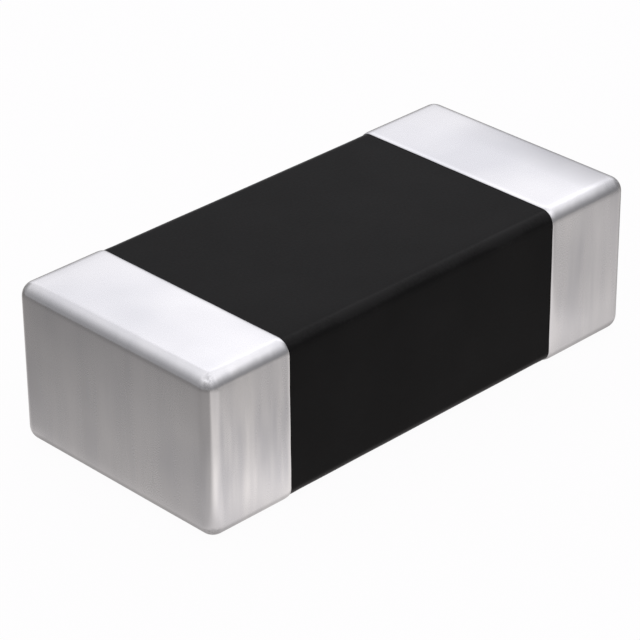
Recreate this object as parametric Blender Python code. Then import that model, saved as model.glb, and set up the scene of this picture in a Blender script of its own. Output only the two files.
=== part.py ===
"""Ceramic chip capacitor in the 3216 metric size, a fired multilayer block with plated ends.

Metres, +Z up. The origin lies under the middle of the chip, level with its solder faces.
+X runs along the chip towards its right end, and +Y across it.
"""

import math

import bmesh
import bpy

MM = 0.001
MICRON = 0.000001

# Outside of the finished chip, over its end caps
CHIP_LENGTH = 3.20 * MM
CHIP_WIDTH = 1.50 * MM
CHIP_HEIGHT = 0.965 * MM
LEFT_BAND = 0.57 * MM
RIGHT_BAND = 0.62 * MM

# Fired ceramic block, its edges rounded by tumbling
EDGE_RADIUS = 0.08 * MM
EDGE_SEGMENTS = 5

# Layers of each end cap, from the ceramic outwards
COPPER_ON_END = 30.0 * MICRON
COPPER_ON_BAND = 2.0 * MICRON
NICKEL_PLATING = 2.0 * MICRON
TIN_PLATING = 2.5 * MICRON
RIM_LENGTH = 15.0 * MICRON
RIM_SEGMENTS = 2

# Inner electrodes, which reach one end of the block and stop short of the other
ELECTRODES_PER_END = 10
ELECTRODE_THICKNESS = 2.0 * MICRON
ELECTRODE_CORNER = 0.06 * MM
ELECTRODE_CORNER_SEGMENTS = 3
COVER_LAYER = 0.12 * MM
SIDE_MARGIN = 0.18 * MM
END_MARGIN = 0.35 * MM

# Clearance that parts one solid from the next, in place of the bond
CLEARANCE = 0.5 * MICRON

# How far the slot cutters run out of the block, and the distance within which points are one
CUTTER_OVERRUN = 0.05 * MM
WELD_DISTANCE = 0.01 * MICRON
SHARP_ANGLE = math.radians(40)

QUARTER_TURN = math.pi / 2

PLATED_ON_BAND = COPPER_ON_BAND + NICKEL_PLATING + TIN_PLATING + 3 * CLEARANCE
PLATED_ON_END = COPPER_ON_END + NICKEL_PLATING + TIN_PLATING + 3 * CLEARANCE
BLOCK_LENGTH = CHIP_LENGTH - 2 * PLATED_ON_END
BLOCK_WIDTH = CHIP_WIDTH - 2 * PLATED_ON_BAND
BLOCK_HEIGHT = CHIP_HEIGHT - 2 * PLATED_ON_BAND

ELECTRODE_COUNT = 2 * ELECTRODES_PER_END
ELECTRODE_LENGTH = BLOCK_LENGTH - END_MARGIN
ELECTRODE_WIDTH = BLOCK_WIDTH - 2 * SIDE_MARGIN
LOWEST_ELECTRODE = (ELECTRODE_THICKNESS - BLOCK_HEIGHT) / 2 + COVER_LAYER
ELECTRODE_PITCH = -2 * LOWEST_ELECTRODE / (ELECTRODE_COUNT - 1)


def clear_scene():
    for item in list(bpy.data.objects):
        bpy.data.objects.remove(item, do_unlink=True)


def principled(name, colour, metallic, roughness):
    material = bpy.data.materials.new(name)
    material.use_nodes = True
    shader = material.node_tree.nodes["Principled BSDF"]
    shader.inputs["Base Color"].default_value = (*colour, 1.0)
    shader.inputs["Metallic"].default_value = metallic
    shader.inputs["Roughness"].default_value = roughness
    material.diffuse_color = (*colour, 1.0)
    return material


def make_finishes():
    return {
        "black_ceramic": principled("black_ceramic", (0.022, 0.021, 0.022), 0.0, 0.62),
        "copper": principled("fired_copper", (0.72, 0.36, 0.24), 1.0, 0.48),
        "nickel": principled("nickel", (0.62, 0.58, 0.52), 1.0, 0.32),
        "tin": principled("matte_tin", (0.78, 0.78, 0.80), 1.0, 0.36),
    }


def finish_mesh(bm, name):
    """Weld the points that meet at the block's corners, face every side outwards and smooth the rounds."""
    bmesh.ops.remove_doubles(bm, verts=bm.verts, dist=WELD_DISTANCE)
    bmesh.ops.recalc_face_normals(bm, faces=bm.faces)
    mesh = bpy.data.meshes.new(name)
    bm.to_mesh(mesh)
    bm.free()
    mesh.shade_smooth()
    mesh.set_sharp_from_angle(angle=SHARP_ANGLE)
    return mesh


def add_object(name, mesh, frame, location, turn=0.0):
    item = bpy.data.objects.new(name, mesh)
    bpy.context.scene.collection.objects.link(item)
    item.parent = frame
    item.location = location
    item.rotation_euler = (0.0, 0.0, turn)
    return item


def ring(bm, depth, out):
    """Rounded rectangle across the chip, depth in from the block's end and out from its side faces."""
    radius = EDGE_RADIUS + out
    y_centre = BLOCK_WIDTH / 2 - EDGE_RADIUS
    z_centre = BLOCK_HEIGHT / 2 - EDGE_RADIUS
    verts = []
    for corner, (y_side, z_side) in enumerate(((1, 1), (-1, 1), (-1, -1), (1, -1))):
        for step in range(EDGE_SEGMENTS + 1):
            angle = QUARTER_TURN * (corner + step / EDGE_SEGMENTS)
            y = y_side * y_centre + radius * math.cos(angle)
            z = z_side * z_centre + radius * math.sin(angle)
            verts.append(bm.verts.new((depth, y, z)))
    return verts


def loft(name, stations):
    """Closed skin through a ring at each (depth, out) station, with a flat face across both ends."""
    bm = bmesh.new()
    rings = [ring(bm, depth, out) for depth, out in stations]
    for near, far in zip(rings, rings[1:]):
        for i, vert in enumerate(near):
            after = (i + 1) % len(near)
            bm.faces.new((vert, near[after], far[after], far[i]))
    bm.faces.new(rings[0])
    bm.faces.new(rings[-1])
    return finish_mesh(bm, name)


def rounded_end(on_end, on_band):
    """Stations of a surface that stands on_end and on_band off the block, round its end edges."""
    radius = EDGE_RADIUS + on_band
    stations = []
    for step in range(EDGE_SEGMENTS + 1):
        angle = QUARTER_TURN * step / EDGE_SEGMENTS
        depth = radius * (1 - math.cos(angle)) - on_end
        out = on_band - radius * (1 - math.sin(angle))
        stations.append((depth, out))
    return stations


def rounded_rim(on_band, rim_depth, rim_length):
    """Stations of a cap's rim, which curves down to the ceramic."""
    stations = []
    for step in range(RIM_SEGMENTS + 1):
        angle = QUARTER_TURN * step / RIM_SEGMENTS
        depth = rim_depth - rim_length * (1 - math.sin(angle))
        out = CLEARANCE + (on_band - CLEARANCE) * math.cos(angle)
        stations.append((depth, out))
    return stations


def cap_surface(on_end, on_band, rim_depth, rim_length):
    return rounded_end(on_end, on_band) + rounded_rim(on_band, rim_depth, rim_length)


def block_mesh():
    left = rounded_end(0.0, 0.0)
    right = [(BLOCK_LENGTH - depth, out) for depth, out in reversed(left)]
    centred = [(depth - BLOCK_LENGTH / 2, out) for depth, out in left + right]
    return loft("ceramic_block", centred)


def plate_mesh(name, grow, overrun):
    """Printed electrode, its lead edge at local X 0 and its free edge rounded at the corners."""
    half_width = ELECTRODE_WIDTH / 2 + grow
    free_edge = ELECTRODE_LENGTH + grow
    radius = ELECTRODE_CORNER + grow
    half_thickness = ELECTRODE_THICKNESS / 2 + grow
    outline = [(-overrun, half_width), (-overrun, -half_width)]
    for side, start in ((-1, -QUARTER_TURN), (1, 0.0)):
        for step in range(ELECTRODE_CORNER_SEGMENTS + 1):
            angle = start + QUARTER_TURN * step / ELECTRODE_CORNER_SEGMENTS
            x = free_edge - radius + radius * math.cos(angle)
            y = side * (half_width - radius) + radius * math.sin(angle)
            outline.append((x, y))
    bm = bmesh.new()
    lower = bm.faces.new([bm.verts.new((x, y, -half_thickness)) for x, y in outline])
    raised = bmesh.ops.extrude_face_region(bm, geom=[lower])["geom"]
    moved = [item for item in raised if isinstance(item, bmesh.types.BMVert)]
    bmesh.ops.translate(bm, verts=moved, vec=(0.0, 0.0, 2 * half_thickness))
    return finish_mesh(bm, name)


def electrode_places():
    """Name, location and turn of each electrode, from the lowest up, led out left and right in turn."""
    for number in range(ELECTRODE_COUNT):
        end = ("left", "right")[number % 2]
        side = (-1, 1)[number % 2]
        height = LOWEST_ELECTRODE + number * ELECTRODE_PITCH
        turn = (0.0, math.pi)[number % 2]
        name = f"electrode_{end}_{number // 2 + 1:02d}"
        yield name, (side * BLOCK_LENGTH / 2, 0.0, height), turn


def add_electrodes(frame, finish):
    mesh = plate_mesh("electrode_plate", 0.0, 0.0)
    mesh.materials.append(finish)
    for name, location, turn in electrode_places():
        add_object(name, mesh, frame, location, turn)


def add_ceramic_body(frame, finish):
    """The block, with a slot for each electrode that opens at the end where it is led out."""
    mesh = block_mesh()
    mesh.materials.append(finish)
    body = add_object("ceramic_body", mesh, frame, (0.0, 0.0, 0.0))
    slot = plate_mesh("electrode_slot", CLEARANCE, CUTTER_OVERRUN)
    for name, location, turn in electrode_places():
        cutter = add_object(f"slot_for_{name}", slot, frame, location, turn)
        cutter.hide_render = True
        cutter.display_type = "WIRE"
        cut = body.modifiers.new(f"slot_for_{name}", "BOOLEAN")
        cut.operation = "DIFFERENCE"
        cut.object = cutter


def cap_layers(band_length):
    """Name, finish, outer surface and inner surface of each layer of a cap, from the tin inwards."""
    on_end = PLATED_ON_END
    on_band = PLATED_ON_BAND
    rim = band_length - PLATED_ON_END
    rim_length = RIM_LENGTH
    for name, finish, thickness in (
        ("tin_plating", "tin", TIN_PLATING),
        ("nickel_barrier", "nickel", NICKEL_PLATING),
    ):
        outside = cap_surface(on_end, on_band, rim, rim_length)
        on_end -= thickness
        on_band -= thickness
        rim -= thickness
        rim_length -= thickness
        yield name, finish, outside, cap_surface(on_end, on_band, rim, rim_length)
        on_end -= CLEARANCE
        on_band -= CLEARANCE
        rim -= CLEARANCE
        rim_length -= CLEARANCE
    outside = cap_surface(on_end, on_band, rim, rim_length)
    yield "copper_termination", "copper", outside, rounded_end(CLEARANCE, CLEARANCE)


def add_cap(end, side, band_length, turn, frame, finishes):
    """One end cap: fired copper on the ceramic, then nickel and tin plated over it."""
    location = (side * BLOCK_LENGTH / 2, 0.0, 0.0)
    for name, finish, outside, inside in cap_layers(band_length):
        mesh = loft(f"{name}_{end}", outside + inside[::-1])
        mesh.materials.append(finishes[finish])
        add_object(f"{name}_{end}", mesh, frame, location, turn)


def build():
    clear_scene()
    frame = bpy.data.objects.new("chip_centre", None)
    frame.location = (0.0, 0.0, CHIP_HEIGHT / 2)
    bpy.context.scene.collection.objects.link(frame)
    finishes = make_finishes()
    add_ceramic_body(frame, finishes["black_ceramic"])
    add_electrodes(frame, finishes["nickel"])
    add_cap("left", -1, LEFT_BAND, 0.0, frame, finishes)
    add_cap("right", 1, RIGHT_BAND, math.pi, frame, finishes)


build()
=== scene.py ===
import math

import bmesh
import bpy
from mathutils import Matrix, Vector, noise


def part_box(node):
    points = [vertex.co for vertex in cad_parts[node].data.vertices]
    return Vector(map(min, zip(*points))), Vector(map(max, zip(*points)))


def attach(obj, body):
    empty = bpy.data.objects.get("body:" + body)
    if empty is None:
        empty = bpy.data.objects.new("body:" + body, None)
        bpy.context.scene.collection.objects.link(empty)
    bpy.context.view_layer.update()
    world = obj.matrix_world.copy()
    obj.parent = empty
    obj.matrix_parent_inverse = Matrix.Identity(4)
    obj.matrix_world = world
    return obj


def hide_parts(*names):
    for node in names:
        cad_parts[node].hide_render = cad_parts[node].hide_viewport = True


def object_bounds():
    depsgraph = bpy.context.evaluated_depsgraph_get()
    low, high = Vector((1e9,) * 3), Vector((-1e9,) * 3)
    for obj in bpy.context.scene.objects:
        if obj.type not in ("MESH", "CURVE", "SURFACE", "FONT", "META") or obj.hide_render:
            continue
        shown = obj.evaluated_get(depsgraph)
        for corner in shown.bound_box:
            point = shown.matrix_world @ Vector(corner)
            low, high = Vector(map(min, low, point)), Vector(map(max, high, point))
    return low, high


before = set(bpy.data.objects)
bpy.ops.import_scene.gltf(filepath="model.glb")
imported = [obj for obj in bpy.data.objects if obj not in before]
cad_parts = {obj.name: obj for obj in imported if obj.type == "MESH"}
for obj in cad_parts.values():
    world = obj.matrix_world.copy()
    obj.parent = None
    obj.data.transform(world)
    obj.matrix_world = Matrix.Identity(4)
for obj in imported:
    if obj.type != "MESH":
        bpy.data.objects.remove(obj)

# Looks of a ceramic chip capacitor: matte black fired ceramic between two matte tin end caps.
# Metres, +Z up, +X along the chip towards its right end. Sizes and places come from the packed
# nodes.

CAD_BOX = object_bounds()

MM = 0.001
MICRON = 0.000001
PER_MM = 1000.0


# Shapes

# The block's edge rounding and the clearance between solids, as the CAD has them
EDGE_RADIUS = 0.08 * MM
CLEARANCE = 0.5 * MICRON

# The rim of the tin runs out more gently than the CAD's, over this length
RIM_LENGTH = 35.0 * MICRON

# Mesh density: steps round half an edge and round the rim, and the size of the flat faces
ARC_STEPS = 8
RIM_STEPS = 6
FLAT_STEP = 0.045 * MM

# Height and length of the waves in the tin, the ceramic and the tin's rim. The ceramic's only sink
# into it, and the rim's only reach forwards over it.
TIN_WAVE = 0.5 * MICRON
TIN_WAVE_LENGTH = 0.30 * MM
CERAMIC_WAVE = 0.8 * MICRON
CERAMIC_WAVE_LENGTH = 0.35 * MM
RIM_WAVE = 1.2 * MICRON
RIM_WAVE_LENGTH = 0.12 * MM

# How far clear of the caps the ceramic's waves start
BARE_MARGIN = 2 * RIM_LENGTH


# Tin

# Noise patterns, with their scale per millimetre
TIN_CLOUDS = dict(scale=1.6)
TIN_BROAD_CLOUDS = dict(scale=1.0, detail=1.0, offset=(28.6, 41.5, 43.2))
TIN_BLOTCHES = dict(scale=2.2, detail=1.0, offset=(28.9, 45.6, 0.0))
TIN_STREAKS = dict(scale=1.0, stretch=(8.0, 8.0, 1.0), offset=(28.7, 32.9, 29.9))
TIN_STRANDS = dict(scale=1.0, detail=1.0, stretch=(19.0, 19.0, 2.0), offset=(3.0, 7.0, 1.0))
TIN_PATCHES = dict(scale=2.2, detail=1.0)
TIN_GRAIN = dict(scale=120.0)
TIN_SPECKS = dict(scale=52.0)

# The broad clouds' mean over the part of the noise that the chip lies in
BROAD_CLOUDS_MEAN = 0.59

# How strong the streaks are on the sides and on the ends, and how much of that is left on the
# right cap and between the patches
STREAKS_ON_SIDE = 2.2
STREAKS_ON_END = 0.5
STREAKS_ON_RIGHT = 0.4
STREAKS_FADE = (-1.0 * MM, 1.0 * MM)
STREAKS_BETWEEN_PATCHES = 0.45
PATCH_EDGE = (0.40, 0.60)

# Heights over the floor at which the strands start and end, and how much of them is left below
# and above
STRANDS_START = (0.08 * MM, 0.26 * MM)
STRANDS_END = (0.60 * MM, 0.82 * MM)
STRANDS_LEFT = 0.2

# How squarely a place faces an axis where it counts as rounded, and where it counts as flat
ROUNDED_EDGE = (0.955, 0.998)

# Wear starts and is in full where a place faces all three axes at least so squarely. A speck
# starts and is in full at these values of its noise.
CORNER_EDGE = (0.06, 0.42)
SPECK_EDGE = (0.38, 0.62)

# Where the right cap gets duller, along the chip and across it from its middle
DULL_ALONG = (1.30 * MM, 1.50 * MM)
DULL_ACROSS = (0.45 * MM, -0.35 * MM)

# Tin tones from dark to pale, and what each pattern adds to the tone
TIN_TONES = (
    (0.0, (0.68, 0.682, 0.702)),
    (0.5, (0.78, 0.778, 0.788)),
    (1.0, (0.88, 0.874, 0.874)),
)
TONE_BY_STREAKS = 1.6
TONE_BY_STRANDS = 0.45
TONE_BY_BROAD_CLOUDS = 1.0
TONE_BY_BLOTCHES = -0.8
TONE_BY_GRAIN = 0.08

# What dulling and wear add to the strength of the colour, which is 1
SHADE_BY_DULLING = -0.26
SHADE_BY_WEAR = -0.30

# Roughness of the tin, and what each pattern adds to it
TIN_ROUGHNESS = 0.27
ROUGHNESS_BY_ROUNDING = -0.07
ROUGHNESS_BY_STREAKS = -0.25
ROUGHNESS_BY_DULLING = 0.08
ROUGHNESS_BY_WEAR = 0.15
ROUGHNESS_BY_GRAIN = 0.06

# Depth of the tin's grain and streaks, and how strongly they tilt the light
TIN_GRAIN_DEPTH = 0.12 * MICRON
TIN_STREAK_DEPTH = 10.0 * MICRON
TIN_BUMP_STRENGTH = 0.5

# How the plating thins out towards the chip's edges
PILLOW_WIDTH = 0.36 * MM
PILLOW_FALL = 6.0 * MICRON
PILLOW_STRENGTH = 1.0


# Ceramic

CERAMIC_CLOUDS = dict(scale=2.5, detail=3.0)
CERAMIC_GRAIN = dict(scale=70.0, detail=3.0, rough=0.6)
CERAMIC_SPECULAR = 0.08
CERAMIC_TONES = (
    (0.25, (0.0052, 0.0050, 0.0050)),
    (0.50, (0.0066, 0.0064, 0.0064)),
    (0.75, (0.0082, 0.0079, 0.0079)),
    (1.00, (0.0132, 0.0129, 0.0129)),
)
CERAMIC_TONE_BY_GRAIN = 0.6
CERAMIC_ROUGHNESS = 0.58
CERAMIC_ROUGHNESS_BY_ROUNDING = -0.26
CERAMIC_ROUGHNESS_BY_GRAIN = 0.2
CERAMIC_GRAIN_DEPTH = 1.2 * MICRON
CERAMIC_BUMP_STRENGTH = 0.5

# A painted highlight makes the rounded edges paler, most where they face up or down: how much, how
# squarely a place faces up or down before it is so in full, and how much of it is left elsewhere
CERAMIC_TONE_BY_PAINTED_HIGHLIGHT = 0.48
PAINTED_HIGHLIGHT_FACING = (0.40, 0.62)
PAINTED_HIGHLIGHT_ELSEWHERE = 0.4


# Metals inside the chip

NICKEL_TONES = (
    (0.25, (0.50, 0.46, 0.41)),
    (0.50, (0.62, 0.58, 0.52)),
    (0.75, (0.70, 0.66, 0.60)),
)
NICKEL_ROUGHNESS = 0.34
NICKEL_GRAIN = dict(scale=60.0, rough=0.6)
COPPER_TONES = (
    (0.25, (0.58, 0.27, 0.17)),
    (0.50, (0.72, 0.36, 0.24)),
    (0.75, (0.80, 0.44, 0.31)),
)
COPPER_ROUGHNESS = 0.48
COPPER_GRAIN = dict(scale=45.0, rough=0.6)
INNER_CLOUDS = dict(scale=3.0, detail=3.0)
INNER_TONE_BY_GRAIN = 0.7
INNER_ROUGHNESS_BY_GRAIN = 0.25
INNER_GRAIN_DEPTH = 1.0 * MICRON
INNER_BUMP_STRENGTH = 0.6


# Studio

# What the camera sees on the floor and all round
WHITE = (1.0, 0.995, 1.0, 1.0)

# Half the floor's side, and how far it lies below the chip
FLOOR_COLOUR = (0.80, 0.80, 0.80, 1.0)
FLOOR_HALF = 150.0 * MM
FLOOR_DROP = 1.0 * MICRON

# How much of what the camera sees of the floor is plain white. The rest is its lit surface.
FLOOR_WHITE_TO_CAMERA = 0.965

# Floor as the metal mirrors it. Its brightness has stops by away / (away + GLOW_REACH), where away
# is the distance from the chip's outline.
GLOW_COLOUR = (1.0, 0.958, 0.952, 1.0)
GLOW_REACH = 1.5 * MM
GLOW_STOPS = (
    (0.0, 0.66),
    (0.03, 0.92),
    (0.17, 0.84),
    (0.35, 0.68),
    (0.57, 0.55),
    (0.80, 0.45),
    (1.0, 0.38),
)

# It is full in front of the chip and right of a slanting line through its near left corner, though
# a little less until just past that corner. Elsewhere it is GLOW_BEHIND_CLOSE of that beside the
# chip, and GLOW_BEHIND of it further away.
GLOW_FRONT_EDGE = (-0.40 * MM, 0.20 * MM)
GLOW_RIGHT_SLANT = 0.85
GLOW_RIGHT_EDGE = (-0.18 * MM, 0.26 * MM)
GLOW_CORNER_EDGE = (-0.05 * MM, 0.25 * MM)
GLOW_AT_CORNER = 0.89
GLOW_BEHIND_AWAY = (0.02 * MM, 0.13 * MM)
GLOW_BEHIND_CLOSE = 0.60
GLOW_BEHIND = 0.485

# Left of a second slanting line it is brighter, by GLOW_STRIP_CLOSE near the chip and by
# GLOW_STRIP_FAR further away, and by GLOW_STRIP_BEHIND of that behind the chip's front
GLOW_STRIP_SLANT = -0.45
GLOW_STRIP_EDGE = (-0.20 * MM, 0.20 * MM)
GLOW_STRIP_BEHIND = 0.5
GLOW_STRIP_AWAY = (0.62 * MM, 0.95 * MM)
GLOW_STRIP_CLOSE = 0.32
GLOW_STRIP_FAR = 0.12

# It varies along the chip, in one way beside it and in another further away. The stops run over
# GLOW_SPAN, from the left to the right.
GLOW_SPAN = (-3.0 * MM, 3.0 * MM)
GLOW_BESIDE_AWAY = (0.10 * MM, 0.60 * MM)
GLOW_BESIDE = (
    (0.0, 0.97),
    (0.28, 0.97),
    (0.34, 1.08),
    (0.62, 1.0),
    (0.70, 0.86),
    (0.78, 0.77),
    (1.0, 0.77),
)
GLOW_FURTHER = (
    (0.0, 1.0),
    (0.33, 0.98),
    (0.42, 0.76),
    (0.49, 0.77),
    (0.62, 0.95),
    (0.68, 1.20),
    (0.72, 1.15),
    (0.765, 0.74),
    (0.85, 0.82),
    (0.92, 0.97),
)

# At the back of the chip it is brighter than behind the left end
GLOW_BACK = 0.85
GLOW_BACK_EDGE = (-0.10 * MM, 0.20 * MM)

# Close to the black body it is less
GLOW_BY_BODY = 0.95
GLOW_BODY_END = (0.80 * MM, 1.02 * MM)
GLOW_BODY_AWAY = (0.05 * MM, 0.35 * MM)

# Brightness of the studio round the chip, by the sine of the height above the horizon
SKY_COLOUR = (0.975, 0.965, 1.0, 1.0)
SKY_STOPS = (
    (0.0, 0.30),
    (0.26, 0.335),
    (0.47, 0.52),
    (0.62, 0.745),
    (0.77, 1.08),
    (0.86, 1.17),
    (1.0, 1.12),
)

# Low down, the studio is brighter by this share behind and to the left. High up it is the other
# way round.
SKY_LEAN = 0.12

# Softboxes: name, azimuth and elevation in degrees, distance, width, height, and brightness,
# where 1 is white
SOFTBOXES = (
    ("softbox_wide", 128.0, 25.0, 60 * MM, 92 * MM, 52 * MM, 0.385),
    ("softbox_high", 119.0, 35.0, 60 * MM, 50 * MM, 36 * MM, 0.27),
)
LAMP_COLOUR = (0.965, 0.957, 1.0)

# The middle of the chip, which the softboxes face
LAMP_TARGET = Vector((0.0, 0.0, 0.5 * MM))

# Camera, from a fit to the photo's outline, with its angles in degrees
CAMERA_AZIMUTH = -44.2965
CAMERA_ELEVATION = 29.283
CAMERA_ROLL = -0.5156
CAMERA_PLACE = Vector((-10.3967, -10.5679, 8.7008)) * MM
LENS_MM = 173.294
SENSOR_MM = 36.0
CLIP_NEAR = 1.0 * MM
CLIP_FAR = 1.0


# Node trees

def new_material(name):
    material = bpy.data.materials.new(name)
    material.use_nodes = True
    return material, material.node_tree, material.node_tree.nodes["Principled BSDF"]


def add_node(tree, kind, **settings):
    node = tree.nodes.new(kind)
    for key, value in settings.items():
        setattr(node, key, value)
    return node


def set_inputs(node, **values):
    for key, value in values.items():
        node.inputs[key.replace("_", " ")].default_value = value
    return node


def maths(tree, operation, first, second=None, third=None):
    node = add_node(tree, "ShaderNodeMath", operation=operation)
    for socket, value in zip(node.inputs, (first, second, third)):
        if value is None:
            continue
        if isinstance(value, bpy.types.NodeSocket):
            tree.links.new(value, socket)
        else:
            socket.default_value = value
    return node.outputs[0]


def product(tree, first, *others):
    total = first
    for other in others:
        total = maths(tree, "MULTIPLY", total, other)
    return total


def weighted(tree, start, *terms):
    """The start plus each (pattern, weight) term."""
    total = start
    for pattern, weight in terms:
        total = maths(tree, "MULTIPLY_ADD", pattern, weight, total)
    return total


def centred(tree, pattern, mean=0.5):
    """How far a pattern lies above or below its mean."""
    return maths(tree, "SUBTRACT", pattern, mean)


def map_range(tree, value, edge, start=0.0, stop=1.0):
    """From start to stop while the value crosses the edge, which is a pair of values."""
    node = add_node(tree, "ShaderNodeMapRange")
    set_inputs(node, From_Min=edge[0], From_Max=edge[1], To_Min=start, To_Max=stop)
    tree.links.new(value, node.inputs["Value"])
    return node.outputs["Result"]


def object_mm(tree, stretch, offset):
    """Object coordinates in millimetres, each times its stretch, then moved by the offset."""
    place = add_node(tree, "ShaderNodeTexCoord")
    mapping = add_node(tree, "ShaderNodeMapping")
    set_inputs(mapping, Scale=[PER_MM * s for s in stretch], Location=offset)
    tree.links.new(place.outputs["Object"], mapping.inputs["Vector"])
    return mapping.outputs["Vector"]


def noise_value(
    tree, scale, detail=2.0, rough=0.5, stretch=(1.0, 1.0, 1.0), offset=(0.0, 0.0, 0.0)
):
    node = add_node(tree, "ShaderNodeTexNoise")
    set_inputs(node, Scale=scale, Detail=detail, Roughness=rough)
    tree.links.new(object_mm(tree, stretch, offset), node.inputs["Vector"])
    return node.outputs[0]


def colour_ramp(tree, value, stops):
    node = add_node(tree, "ShaderNodeValToRGB")
    ramp = node.color_ramp
    while len(ramp.elements) < len(stops):
        ramp.elements.new(0.5)
    for element, (position, colour) in zip(ramp.elements, stops):
        element.position = position
        element.color = (*colour, 1.0)
    tree.links.new(value, node.inputs["Fac"])
    return node.outputs["Color"]


def level_ramp(tree, value, stops):
    """A level that may go above 1, which a ramp can't, by a ramp of half its size."""
    halves = [(position, (level / 2, level / 2, level / 2)) for position, level in stops]
    return maths(tree, "MULTIPLY", colour_ramp(tree, value, halves), 2.0)


def add_bumps(tree, shader, *bumps):
    """Bumps one on the other, each a height, a depth and a strength, the widest first."""
    below = None
    for height, depth, strength in bumps:
        node = add_node(tree, "ShaderNodeBump")
        set_inputs(node, Strength=strength, Distance=depth)
        tree.links.new(height, node.inputs["Height"])
        if below is not None:
            tree.links.new(below, node.inputs["Normal"])
        below = node.outputs["Normal"]
    tree.links.new(below, shader.inputs["Normal"])


def mix_shaders(tree, share, first, second):
    """The first shader node mixed with a share of the second."""
    mix = add_node(tree, "ShaderNodeMixShader")
    tree.links.new(share, mix.inputs[0])
    tree.links.new(first.outputs[0], mix.inputs[1])
    tree.links.new(second.outputs[0], mix.inputs[2])
    return mix


def split_axes(tree, output):
    """X, Y and Z of one of the texture coordinates."""
    place = add_node(tree, "ShaderNodeTexCoord")
    split = add_node(tree, "ShaderNodeSeparateXYZ")
    tree.links.new(place.outputs[output], split.inputs[0])
    return split.outputs


def facing(tree):
    """How squarely a place faces along X, Y and Z, from 0 to 1."""
    return [maths(tree, "ABSOLUTE", axis) for axis in split_axes(tree, "Normal")]


# Materials

def streaked(tree):
    """How strongly the tin is streaked: the sides more than the ends, the top and underside not."""
    along_x, along_y, _ = facing(tree)
    on_end = maths(tree, "MULTIPLY", along_x, STREAKS_ON_END)
    share = maths(tree, "MULTIPLY_ADD", along_y, STREAKS_ON_SIDE, on_end)
    x = split_axes(tree, "Object")["X"]
    return maths(tree, "MULTIPLY", share, map_range(tree, x, STREAKS_FADE, 1.0, STREAKS_ON_RIGHT))


def half_way_up(tree):
    """1 half way up the chip, falling towards its underside and its top."""
    z = split_axes(tree, "Object")["Z"]
    lower = map_range(tree, z, STRANDS_START, STRANDS_LEFT, 1.0)
    return maths(tree, "MULTIPLY", lower, map_range(tree, z, STRANDS_END, 1.0, STRANDS_LEFT))


def rounded(tree):
    """1 on the rounded edges, 0 on the flat faces."""
    along_x, along_y, along_z = facing(tree)
    squarely = maths(tree, "MAXIMUM", maths(tree, "MAXIMUM", along_x, along_y), along_z)
    return map_range(tree, squarely, ROUNDED_EDGE, 1.0, 0.0)


def worn(tree):
    """Towards 1 in the scuffed specks on the chip's corners."""
    along_x, along_y, along_z = facing(tree)
    least = maths(tree, "MINIMUM", maths(tree, "MINIMUM", along_x, along_y), along_z)
    specks = map_range(tree, noise_value(tree, **TIN_SPECKS), SPECK_EDGE)
    return maths(tree, "MULTIPLY", map_range(tree, least, CORNER_EDGE), specks)


def dulled(tree):
    """Towards 1 where the right cap is duller, on its top and underside near the right end."""
    x, y, _ = split_axes(tree, "Object")
    near_end = map_range(tree, x, DULL_ALONG)
    to_front = map_range(tree, y, DULL_ACROSS)
    return product(tree, near_end, to_front, facing(tree)[2])


def pillow(tree):
    """0 on the middle of each face, and less towards the chip's edges, where plating thins out."""
    place = split_axes(tree, "Object")
    falls = []
    for axis, low, high in zip(("X", "Y", "Z"), *CAD_BOX):
        half = (high - low) / 2
        off = maths(tree, "ABSOLUTE", maths(tree, "SUBTRACT", place[axis], (low + high) / 2))
        near = map_range(tree, off, (half - PILLOW_WIDTH, half))
        falls.append(maths(tree, "MULTIPLY", near, near))
    total = maths(tree, "ADD", maths(tree, "ADD", falls[0], falls[1]), falls[2])
    return maths(tree, "MULTIPLY", total, -1.0)


def tin_streaks(tree):
    """Broad upright streaks, stronger in patches."""
    dark = maths(tree, "SUBTRACT", 0.5, noise_value(tree, **TIN_STREAKS))
    patches = noise_value(tree, **TIN_PATCHES)
    strength = map_range(tree, patches, PATCH_EDGE, STREAKS_BETWEEN_PATCHES, 1.0)
    return product(tree, dark, streaked(tree), strength)


def tin_strands(tree):
    """Fine upright strands, which fade faster than the streaks from the sides to the ends."""
    strands = centred(tree, noise_value(tree, **TIN_STRANDS))
    return product(tree, strands, maths(tree, "POWER", streaked(tree), 2.0), half_way_up(tree))


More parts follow.
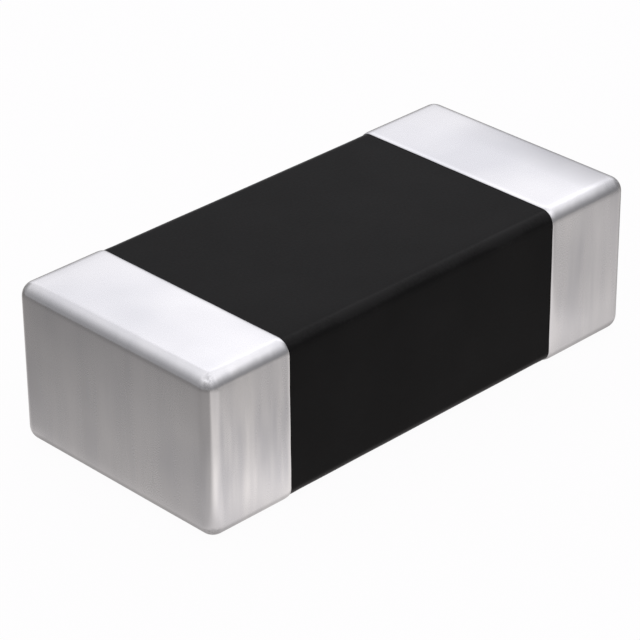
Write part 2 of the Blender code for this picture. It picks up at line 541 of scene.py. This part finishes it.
def tin_material():
    material, tree, shader = new_material("matte_tin")
    set_inputs(shader, Metallic=1.0)
    streaks = tin_streaks(tree)
    wear = worn(tree)
    dull = dulled(tree)
    grain = noise_value(tree, **TIN_GRAIN)
    grit = centred(tree, grain)
    broad_clouds = centred(tree, noise_value(tree, **TIN_BROAD_CLOUDS), BROAD_CLOUDS_MEAN)
    blotches = centred(tree, noise_value(tree, **TIN_BLOTCHES))
    tone = weighted(
        tree, noise_value(tree, **TIN_CLOUDS),
        (streaks, TONE_BY_STREAKS),
        (tin_strands(tree), TONE_BY_STRANDS),
        (broad_clouds, TONE_BY_BROAD_CLOUDS),
        (blotches, TONE_BY_BLOTCHES),
        (grit, TONE_BY_GRAIN),
    )
    shaded = add_node(tree, "ShaderNodeVectorMath", operation="SCALE")
    tree.links.new(colour_ramp(tree, tone, TIN_TONES), shaded.inputs[0])
    shade = weighted(tree, 1.0, (dull, SHADE_BY_DULLING), (wear, SHADE_BY_WEAR))
    tree.links.new(shade, shaded.inputs["Scale"])
    tree.links.new(shaded.outputs[0], shader.inputs["Base Color"])
    roughness = weighted(
        tree, TIN_ROUGHNESS,
        (rounded(tree), ROUGHNESS_BY_ROUNDING),
        (streaks, ROUGHNESS_BY_STREAKS),
        (dull, ROUGHNESS_BY_DULLING),
        (wear, ROUGHNESS_BY_WEAR),
        (grit, ROUGHNESS_BY_GRAIN),
    )
    tree.links.new(roughness, shader.inputs["Roughness"])
    add_bumps(
        tree, shader,
        (pillow(tree), PILLOW_FALL, PILLOW_STRENGTH),
        (streaks, TIN_STREAK_DEPTH, TIN_BUMP_STRENGTH),
        (grain, TIN_GRAIN_DEPTH, TIN_BUMP_STRENGTH),
    )
    return material


def ceramic_material():
    material, tree, shader = new_material("black_ceramic")
    set_inputs(shader, Specular_IOR_Level=CERAMIC_SPECULAR)
    grain = noise_value(tree, **CERAMIC_GRAIN)
    grit = centred(tree, grain)
    edges = rounded(tree)
    # Painted highlight: the rounded edges are paler, most where they face up or down
    highlight_up_or_down = map_range(tree, facing(tree)[2], PAINTED_HIGHLIGHT_FACING, PAINTED_HIGHLIGHT_ELSEWHERE, 1.0)
    tone = weighted(
        tree, noise_value(tree, **CERAMIC_CLOUDS),
        (grit, CERAMIC_TONE_BY_GRAIN),
        (product(tree, edges, highlight_up_or_down), CERAMIC_TONE_BY_PAINTED_HIGHLIGHT),
    )
    tree.links.new(colour_ramp(tree, tone, CERAMIC_TONES), shader.inputs["Base Color"])
    roughness = weighted(
        tree, CERAMIC_ROUGHNESS,
        (edges, CERAMIC_ROUGHNESS_BY_ROUNDING),
        (grit, CERAMIC_ROUGHNESS_BY_GRAIN),
    )
    tree.links.new(roughness, shader.inputs["Roughness"])
    add_bumps(tree, shader, (grain, CERAMIC_GRAIN_DEPTH, CERAMIC_BUMP_STRENGTH))
    return material


def inner_metal(name, tones, plain_roughness, grain_pattern):
    """Fired or plated metal layer inside the chip: a cloudy tone with a fine grain."""
    material, tree, shader = new_material(name)
    set_inputs(shader, Metallic=1.0)
    grain = noise_value(tree, **grain_pattern)
    grit = centred(tree, grain)
    tone = weighted(tree, noise_value(tree, **INNER_CLOUDS), (grit, INNER_TONE_BY_GRAIN))
    tree.links.new(colour_ramp(tree, tone, tones), shader.inputs["Base Color"])
    roughness = weighted(tree, plain_roughness, (grit, INNER_ROUGHNESS_BY_GRAIN))
    tree.links.new(roughness, shader.inputs["Roughness"])
    add_bumps(tree, shader, (grain, INNER_GRAIN_DEPTH, INNER_BUMP_STRENGTH))
    return material


# Meshes

def arc_stops(side):
    """Stops through the 45 degrees nearest a corner, as tangents, from the corner inwards."""
    return [side * math.tan(math.pi / 4 * (1 - step / ARC_STEPS)) for step in range(ARC_STEPS)]


def flat_stops(low, high):
    count = max(2, round((high - low) / FLAT_STEP))
    return [low + (high - low) * step / count for step in range(count + 1)]


def closed_axis(half_core):
    """(core coordinate, tangent) of each grid line across an axis that is rounded at both ends."""
    low = [(-half_core, t) for t in arc_stops(-1)]
    flat = [(c, 0.0) for c in flat_stops(-half_core, half_core)]
    high = [(half_core, t) for t in reversed(arc_stops(1))]
    return low + flat + high


def on_surface(axes, open_end):
    """Grid indexes of the box's surface, without the face at the high end of X if it is open."""
    last = [len(axis) - 1 for axis in axes]
    quads = []
    for a, b, c in ((0, 1, 2), (1, 2, 0), (2, 0, 1)):
        for level in (0, last[a]):
            if a == 0 and level and open_end:
                continue
            for i in range(last[b]):
                for j in range(last[c]):
                    quad = []
                    for u, v in ((i, j), (i + 1, j), (i + 1, j + 1), (i, j + 1)):
                        index = [0, 0, 0]
                        index[a], index[b], index[c] = level, u, v
                        quad.append(tuple(index))
                    quads.append(quad if level else quad[::-1])
    return quads


def wave(place, length, amount):
    return amount * noise.noise(place / length)


def add_skin(bm, axes, radius, settle, open_end=False):
    """Surface of a box with rounded edges. settle gives each point its place from its plain place
    and its outward direction. Returns the vertices by grid index."""
    verts = {}
    for quad in on_surface(axes, open_end):
        for index in quad:
            if index not in verts:
                core, tangents = zip(*(axis[i] for axis, i in zip(axes, index)))
                out = Vector(tangents).normalized()
                verts[index] = bm.verts.new(settle(Vector(core) + out * radius, out))
        bm.faces.new([verts[index] for index in quad])
    return verts


def bridge(bm, loops):
    """Faces between each loop of vertices and the next."""
    for near, far in zip(loops, loops[1:]):
        for i, vert in enumerate(near):
            after = (i + 1) % len(near)
            bm.faces.new((vert, near[after], far[after], far[i]))


def to_object(bm, name, centre, material):
    bmesh.ops.recalc_face_normals(bm, faces=bm.faces)
    bmesh.ops.translate(bm, verts=bm.verts, vec=centre)
    mesh = bpy.data.meshes.new(name)
    bm.to_mesh(mesh)
    bm.free()
    mesh.shade_smooth()
    mesh.materials.append(material)
    item = bpy.data.objects.new(name, mesh)
    bpy.context.scene.collection.objects.link(item)
    return item


def open_edge(count_y, count_z):
    """(j, k) of the grid points round the open side, in order."""
    top = [(j, count_z - 1) for j in range(count_y - 1)]
    right = [(count_y - 1, k) for k in range(count_z - 1, 0, -1)]
    bottom = [(j, 0) for j in range(count_y - 1, 0, -1)]
    left = [(0, k) for k in range(count_z - 1)]
    return top + right + bottom + left


def rim_stations(rim_x, on_band, inset):
    """(x, distance off the ceramic) of each loop of a rim, from the band down to the ceramic."""
    stations = []
    for step in range(1, RIM_STEPS + 1):
        angle = math.pi / 2 * step / RIM_STEPS
        x = rim_x - inset - (RIM_LENGTH - inset) * (1 - math.sin(angle))
        off = CLEARANCE + (on_band - inset - CLEARANCE) * math.cos(angle)
        stations.append((x, off))
    return stations


def rim_place(line_y, line_z, x, off):
    """Place on a rim loop where two grid lines, each a core coordinate and a tangent, meet it."""
    (y, ty), (z, tz) = line_y, line_z
    out = Vector((0.0, ty, tz)).normalized()
    place = Vector((x, y, z)) + out * (EDGE_RADIUS + off)
    place.x += wave(place, RIM_WAVE_LENGTH, RIM_WAVE) + RIM_WAVE
    return place


def cap_shell(name, end, material):
    """Tin plating of one end: a rounded box open towards the body, with a rounded, wavy rim."""
    low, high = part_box(f"tin_plating_{end}")
    under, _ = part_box(f"nickel_barrier_{end}")
    body_low, body_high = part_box("ceramic_body")
    thickness = under.z - low.z - CLEARANCE
    on_band = body_low.z - low.z
    mirror = 1 if end == "left" else -1
    end_x = min(low.x * mirror, high.x * mirror)
    rim_x = max(low.x * mirror, high.x * mirror)
    ys = closed_axis(body_high.y - EDGE_RADIUS)
    zs = closed_axis((body_high.z - body_low.z) / 2 - EDGE_RADIUS)
    rim_points = open_edge(len(ys), len(zs))
    bm = bmesh.new()

    def turned(place):
        return Vector((place.x * mirror, place.y, place.z))

    def outer(place, out):
        return turned(place + out * wave(place, TIN_WAVE_LENGTH, TIN_WAVE))

    def inner(place, _out):
        return turned(place)

    open_loops = []
    for inset, settle in ((0.0, outer), (thickness, inner)):
        radius = EDGE_RADIUS + on_band - inset
        start = end_x + inset + radius
        flat = flat_stops(start, rim_x - RIM_LENGTH)
        xs = [(start, t) for t in arc_stops(-1)] + [(x, 0.0) for x in flat]
        verts = add_skin(bm, (xs, ys, zs), radius, settle, open_end=True)
        open_loops.append([verts[(len(xs) - 1, j, k)] for j, k in rim_points])
    down = rim_stations(rim_x, on_band, 0.0)
    back_up = rim_stations(rim_x, on_band, thickness)[::-1]
    loops = [
        [bm.verts.new(turned(rim_place(ys[j], zs[k], x, off))) for j, k in rim_points]
        for x, off in down + back_up
    ]
    bridge(bm, [open_loops[0], *loops, open_loops[1]])
    return to_object(bm, name, Vector((0.0, 0.0, (low.z + high.z) / 2)), material)


def body_block(name, material):
    """Ceramic block, its bare surface faintly uneven between the caps."""
    low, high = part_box("ceramic_body")
    bare_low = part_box("tin_plating_left")[1].x + BARE_MARGIN
    bare_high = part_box("tin_plating_right")[0].x - BARE_MARGIN

    def settle(place, out):
        if bare_low < place.x < bare_high:
            return place + out * (wave(place, CERAMIC_WAVE_LENGTH, CERAMIC_WAVE) - CERAMIC_WAVE)
        return place

    bm = bmesh.new()
    axes = [closed_axis(half - EDGE_RADIUS) for half in (high - low) / 2]
    add_skin(bm, axes, EDGE_RADIUS, settle)
    return to_object(bm, name, (low + high) / 2, material)


def dress():
    tin = tin_material()
    ceramic = ceramic_material()
    nickel = inner_metal("nickel", NICKEL_TONES, NICKEL_ROUGHNESS, NICKEL_GRAIN)
    copper = inner_metal("fired_copper", COPPER_TONES, COPPER_ROUGHNESS, COPPER_GRAIN)
    for name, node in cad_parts.items():
        finish = None
        if name.startswith(("electrode", "nickel")):
            finish = nickel
        elif name.startswith("copper"):
            finish = copper
        if finish:
            node.data.materials.clear()
            node.data.materials.append(finish)
    for end in ("left", "right"):
        shell = cap_shell(f"tin_cap_{end}", end, tin)
        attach(shell, "root")
        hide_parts(f"tin_plating_{end}")
    block = body_block("ceramic_block", ceramic)
    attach(block, "root")
    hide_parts("ceramic_body")


# Stage

def away_from_chip(tree, place):
    """Distance over the floor from the chip's outline."""
    squares = []
    for axis, half in (("X", CAD_BOX[1][0]), ("Y", CAD_BOX[1][1])):
        beyond = maths(tree, "SUBTRACT", maths(tree, "ABSOLUTE", place[axis]), half)
        beyond = maths(tree, "MAXIMUM", beyond, 0.0)
        squares.append(maths(tree, "MULTIPLY", beyond, beyond))
    return maths(tree, "SQRT", maths(tree, "ADD", squares[0], squares[1]))


def glow_by_side(tree, away, front, ahead, corner):
    """The floor is full in front of the chip and right of its near left corner, and less behind."""
    slanting = maths(tree, "MULTIPLY_ADD", ahead, GLOW_RIGHT_SLANT, corner)
    right = map_range(tree, slanting, GLOW_RIGHT_EDGE)
    at_corner = map_range(tree, corner, GLOW_CORNER_EDGE, GLOW_AT_CORNER, 1.0)
    full = product(tree, front, right, at_corner)
    behind = map_range(tree, away, GLOW_BEHIND_AWAY, GLOW_BEHIND_CLOSE, GLOW_BEHIND)
    return maths(tree, "MULTIPLY_ADD", full, maths(tree, "SUBTRACT", 1.0, behind), behind)


def glow_by_strip(tree, away, front, ahead, corner):
    """Above 1 in the brighter strip, and 1 elsewhere."""
    slanting = maths(tree, "MULTIPLY_ADD", ahead, GLOW_STRIP_SLANT, corner)
    in_strip = map_range(tree, slanting, GLOW_STRIP_EDGE, 1.0, 0.0)
    in_front = map_range(tree, front, (0.0, 1.0), GLOW_STRIP_BEHIND, 1.0)
    extra = map_range(tree, away, GLOW_STRIP_AWAY, GLOW_STRIP_CLOSE, GLOW_STRIP_FAR)
    return maths(tree, "MULTIPLY_ADD", product(tree, in_strip, in_front), extra, 1.0)


def glow_along(tree, away, x):
    """The floor varies along the chip, changing from one run of stops to another further away."""
    along = map_range(tree, x, GLOW_SPAN)
    beside = level_ramp(tree, along, GLOW_BESIDE)
    further = level_ramp(tree, along, GLOW_FURTHER)
    change = maths(tree, "SUBTRACT", further, beside)
    return maths(tree, "MULTIPLY_ADD", change, map_range(tree, away, GLOW_BESIDE_AWAY), beside)


def glow_at_back(tree, corner, y):
    """Lifts the floor at the chip's back from GLOW_BEHIND to GLOW_BACK."""
    past_back = maths(tree, "SUBTRACT", y, CAD_BOX[1][1])
    inside = maths(tree, "MINIMUM", corner, past_back)
    return map_range(tree, inside, GLOW_BACK_EDGE, 1.0, GLOW_BACK / GLOW_BEHIND)


def glow_by_body(tree, away, x):
    """A little below 1 close to the black body, and 1 elsewhere."""
    less = map_range(tree, maths(tree, "ABSOLUTE", x), GLOW_BODY_END, GLOW_BY_BODY - 1.0, 0.0)
    close = map_range(tree, away, GLOW_BODY_AWAY, 1.0, 0.0)
    return maths(tree, "MULTIPLY_ADD", less, close, 1.0)


def floor_glow(tree):
    """How white the floor looks in the metal: most beside the chip, less far away and behind it."""
    place = split_axes(tree, "Object")
    x, y = place["X"], place["Y"]
    away = away_from_chip(tree, place)
    share = maths(tree, "DIVIDE", away, maths(tree, "ADD", away, GLOW_REACH))
    ahead = maths(tree, "SUBTRACT", CAD_BOX[0][1], y)
    corner = maths(tree, "SUBTRACT", x, CAD_BOX[0][0])
    front = map_range(tree, ahead, GLOW_FRONT_EDGE)
    return product(
        tree,
        level_ramp(tree, share, GLOW_STOPS),
        glow_by_side(tree, away, front, ahead, corner),
        glow_by_strip(tree, away, front, ahead, corner),
        glow_along(tree, away, x),
        glow_at_back(tree, corner, y),
        glow_by_body(tree, away, x),
    )


def floor_material():
    """Pale floor with the chip's shadow, nearly white to the camera, which glows in the metal."""
    material = bpy.data.materials.new("pale_floor")
    material.use_nodes = True
    material.cycles.emission_sampling = "NONE"
    tree = material.node_tree
    tree.nodes.clear()
    path = add_node(tree, "ShaderNodeLightPath").outputs
    lit = set_inputs(add_node(tree, "ShaderNodeBsdfDiffuse"), Color=FLOOR_COLOUR)
    white = set_inputs(add_node(tree, "ShaderNodeEmission"), Color=WHITE, Strength=1.0)
    glow = set_inputs(add_node(tree, "ShaderNodeEmission"), Color=GLOW_COLOUR)
    tree.links.new(floor_glow(tree), glow.inputs["Strength"])
    seen = maths(tree, "MULTIPLY", path["Is Camera Ray"], FLOOR_WHITE_TO_CAMERA)
    mirrored = maths(tree, "MAXIMUM", path["Is Glossy Ray"], path["Is Transmission Ray"])
    surface = mix_shaders(tree, mirrored, mix_shaders(tree, seen, lit, white), glow)
    out = add_node(tree, "ShaderNodeOutputMaterial")
    tree.links.new(surface.outputs[0], out.inputs["Surface"])
    return material


def stage_floor():
    mesh = bpy.data.meshes.new("floor")
    sides = ((-1, -1), (1, -1), (1, 1), (-1, 1))
    corners = [(x * FLOOR_HALF, y * FLOOR_HALF, -FLOOR_DROP) for x, y in sides]
    mesh.from_pydata(corners, [], [(0, 1, 2, 3)])
    mesh.materials.append(floor_material())
    floor = bpy.data.objects.new("floor", mesh)
    bpy.context.scene.collection.objects.link(floor)


def studio_world():
    """Soft studio round the chip, brighter overhead, and white to the camera."""
    world = bpy.data.worlds.new("studio")
    bpy.context.scene.world = world
    world.use_nodes = True
    tree = world.node_tree
    tree.nodes.clear()
    path = add_node(tree, "ShaderNodeLightPath").outputs
    white = set_inputs(add_node(tree, "ShaderNodeBackground"), Color=WHITE, Strength=1.0)
    soft = set_inputs(add_node(tree, "ShaderNodeBackground"), Color=SKY_COLOUR)
    x, y, z = split_axes(tree, "Generated")
    low_down = maths(tree, "MULTIPLY_ADD", z, -2.0, 1.0)
    behind_left = product(tree, maths(tree, "SUBTRACT", y, x), low_down)
    lean = maths(tree, "MULTIPLY_ADD", behind_left, SKY_LEAN, 1.0)
    strength = product(tree, level_ramp(tree, z, SKY_STOPS), lean)
    tree.links.new(strength, soft.inputs["Strength"])
    out = add_node(tree, "ShaderNodeOutputWorld")
    surface = mix_shaders(tree, path["Is Camera Ray"], soft, white)
    tree.links.new(surface.outputs[0], out.inputs["Surface"])


def direction(azimuth, elevation):
    """Unit vector towards an azimuth and elevation in degrees, as the view tool counts them."""
    a = math.radians(azimuth)
    e = math.radians(elevation)
    return Vector((math.sin(a) * math.cos(e), -math.cos(a) * math.cos(e), math.sin(e)))


def soft_lamp(name, azimuth, elevation, distance, width, height, level):
    """Rectangular lamp that faces the chip. level is how bright its face is, where 1 is white."""
    data = bpy.data.lights.new(name, "AREA")
    data.shape = "RECTANGLE"
    data.size = width
    data.size_y = height
    data.energy = level * math.pi * width * height
    data.color = LAMP_COLOUR
    lamp = bpy.data.objects.new(name, data)
    bpy.context.scene.collection.objects.link(lamp)
    way = direction(azimuth, elevation)
    lamp.location = way * distance + LAMP_TARGET
    lamp.rotation_mode = "QUATERNION"
    lamp.rotation_quaternion = way.to_track_quat("Z", "Y")


def place_camera():
    data = bpy.data.cameras.new("camera")
    data.lens = LENS_MM
    data.sensor_width = SENSOR_MM
    data.clip_start = CLIP_NEAR
    data.clip_end = CLIP_FAR
    camera = bpy.data.objects.new("camera", data)
    bpy.context.scene.collection.objects.link(camera)
    back = direction(CAMERA_AZIMUTH, CAMERA_ELEVATION)
    level_right = (-back).cross(Vector((0.0, 0.0, 1.0))).normalized()
    level_up = level_right.cross(-back)
    roll = math.radians(CAMERA_ROLL)
    right = level_right * math.cos(roll) + level_up * math.sin(roll)
    up = level_up * math.cos(roll) - level_right * math.sin(roll)
    camera.rotation_mode = "QUATERNION"
    camera.rotation_quaternion = Matrix((right, up, back)).transposed().to_quaternion()
    camera.location = CAMERA_PLACE
    bpy.context.scene.camera = camera


dress()
stage_floor()
studio_world()
for softbox in SOFTBOXES:
    soft_lamp(*softbox)
place_camera()
bpy.context.scene.view_settings.view_transform = "Standard"
